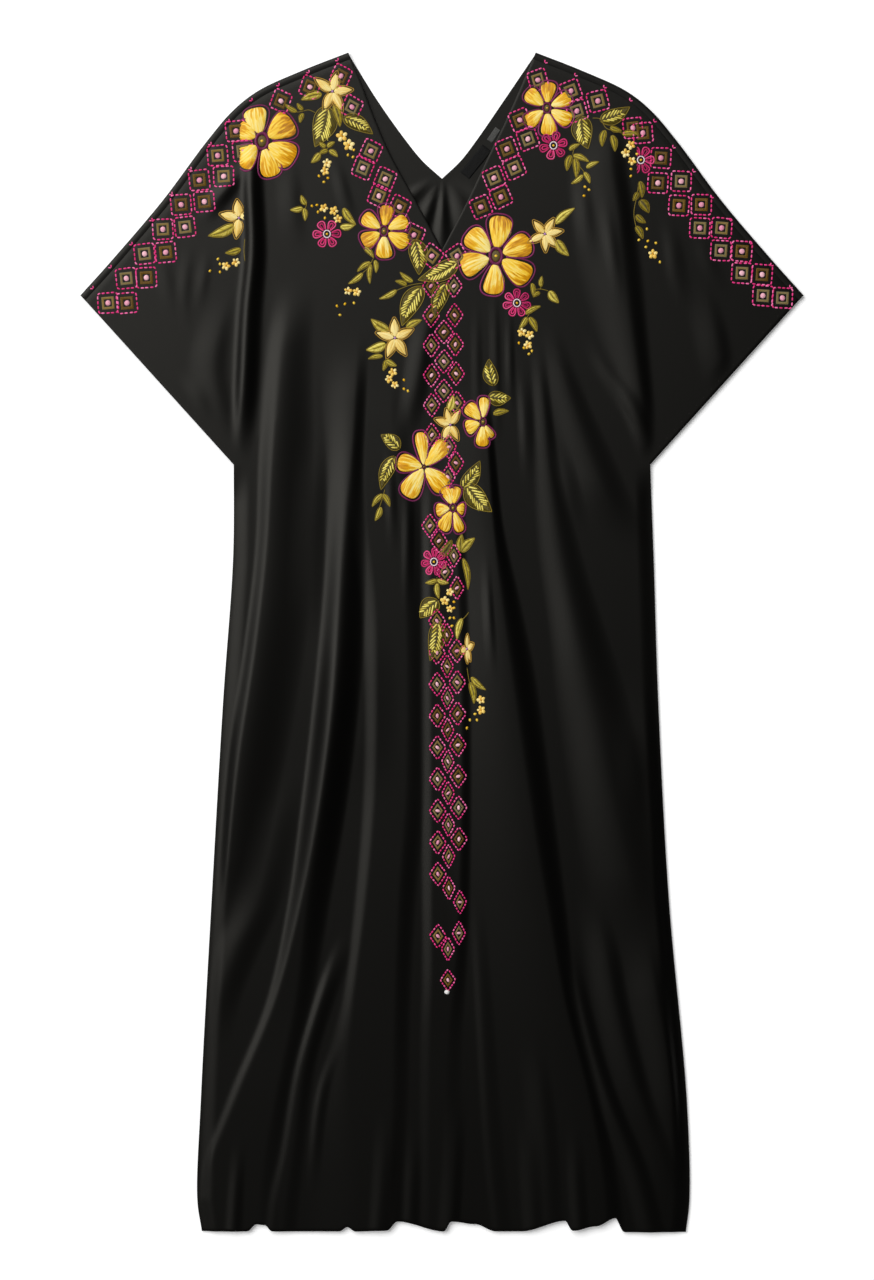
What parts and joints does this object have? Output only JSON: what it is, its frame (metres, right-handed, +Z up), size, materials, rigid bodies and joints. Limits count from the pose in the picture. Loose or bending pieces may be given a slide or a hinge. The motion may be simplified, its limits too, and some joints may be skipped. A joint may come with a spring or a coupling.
{
  "type": "silk caftan",
  "caption": "Black silk midi caftan with short sleeves cut in one, V neck and an embroidered yoke and centre band, laid flat face up with soft lengthwise folds.",
  "frame": {"origin": "on the surface that the garment lies on, under the middle of its bounding box", "axes": "+Y from the hem to the neck, +X to the right as seen from above, +Z up from the surface"},
  "size_m": [0.81, 1.32, 0.0165],
  "materials": {
    "silk": "soft satin sheen",
    "woven_label": "matt woven",
    "woven_tab": "matt woven",
    "embroidery": "satin stitch"
  },
  "bodies": {
    "root": {"back_panel": "silk", "front_panel": "silk", "neck_label": "woven_label", "size_tab": "woven_tab"}
  },
  "joints": []
}
